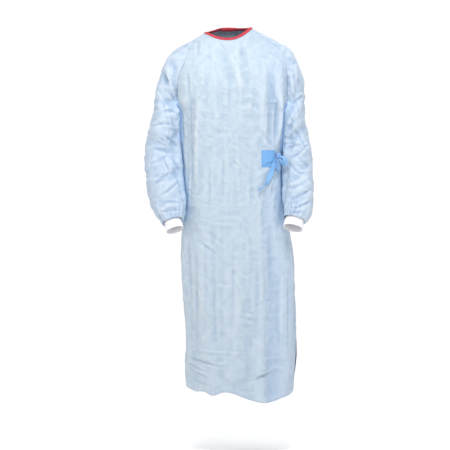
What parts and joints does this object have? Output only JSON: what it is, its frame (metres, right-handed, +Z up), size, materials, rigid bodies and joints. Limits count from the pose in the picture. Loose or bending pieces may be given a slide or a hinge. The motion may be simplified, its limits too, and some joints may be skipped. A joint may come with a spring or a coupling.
{
  "type": "surgical gown",
  "caption": "Long disposable surgical gown with raglan sleeves, knitted cuffs, red neck binding and a side-tied wrap-over back, in standing pose.",
  "frame": {"origin": "the middle of the neck at the height of the shoulders, where the wearer holds the gown up", "axes": "+Z up, -Y towards the front, +X towards the wearer's left"},
  "size_m": [0.5996, 0.3362, 1.3449],
  "materials": {
    "gown_cloth": "light blue nonwoven cloth, matt, lightly embossed and creased",
    "rib_knit": "white ribbed knit",
    "red_tape": "red folded tape, stitched",
    "tie_cloth": "mid blue nonwoven tie cloth"
  },
  "bodies": {
    "root": {"front": "gown_cloth", "back_right": "gown_cloth", "back_left": "gown_cloth", "sleeve_right": "gown_cloth", "sleeve_left": "gown_cloth", "cuff_right": "rib_knit", "cuff_left": "rib_knit", "neck_binding": "red_tape", "tie_patch": "tie_cloth", "belt": "tie_cloth", "knot": "tie_cloth", "loop_side": "tie_cloth", "loop_low": "tie_cloth", "tail": "tie_cloth"}
  },
  "joints": []
}
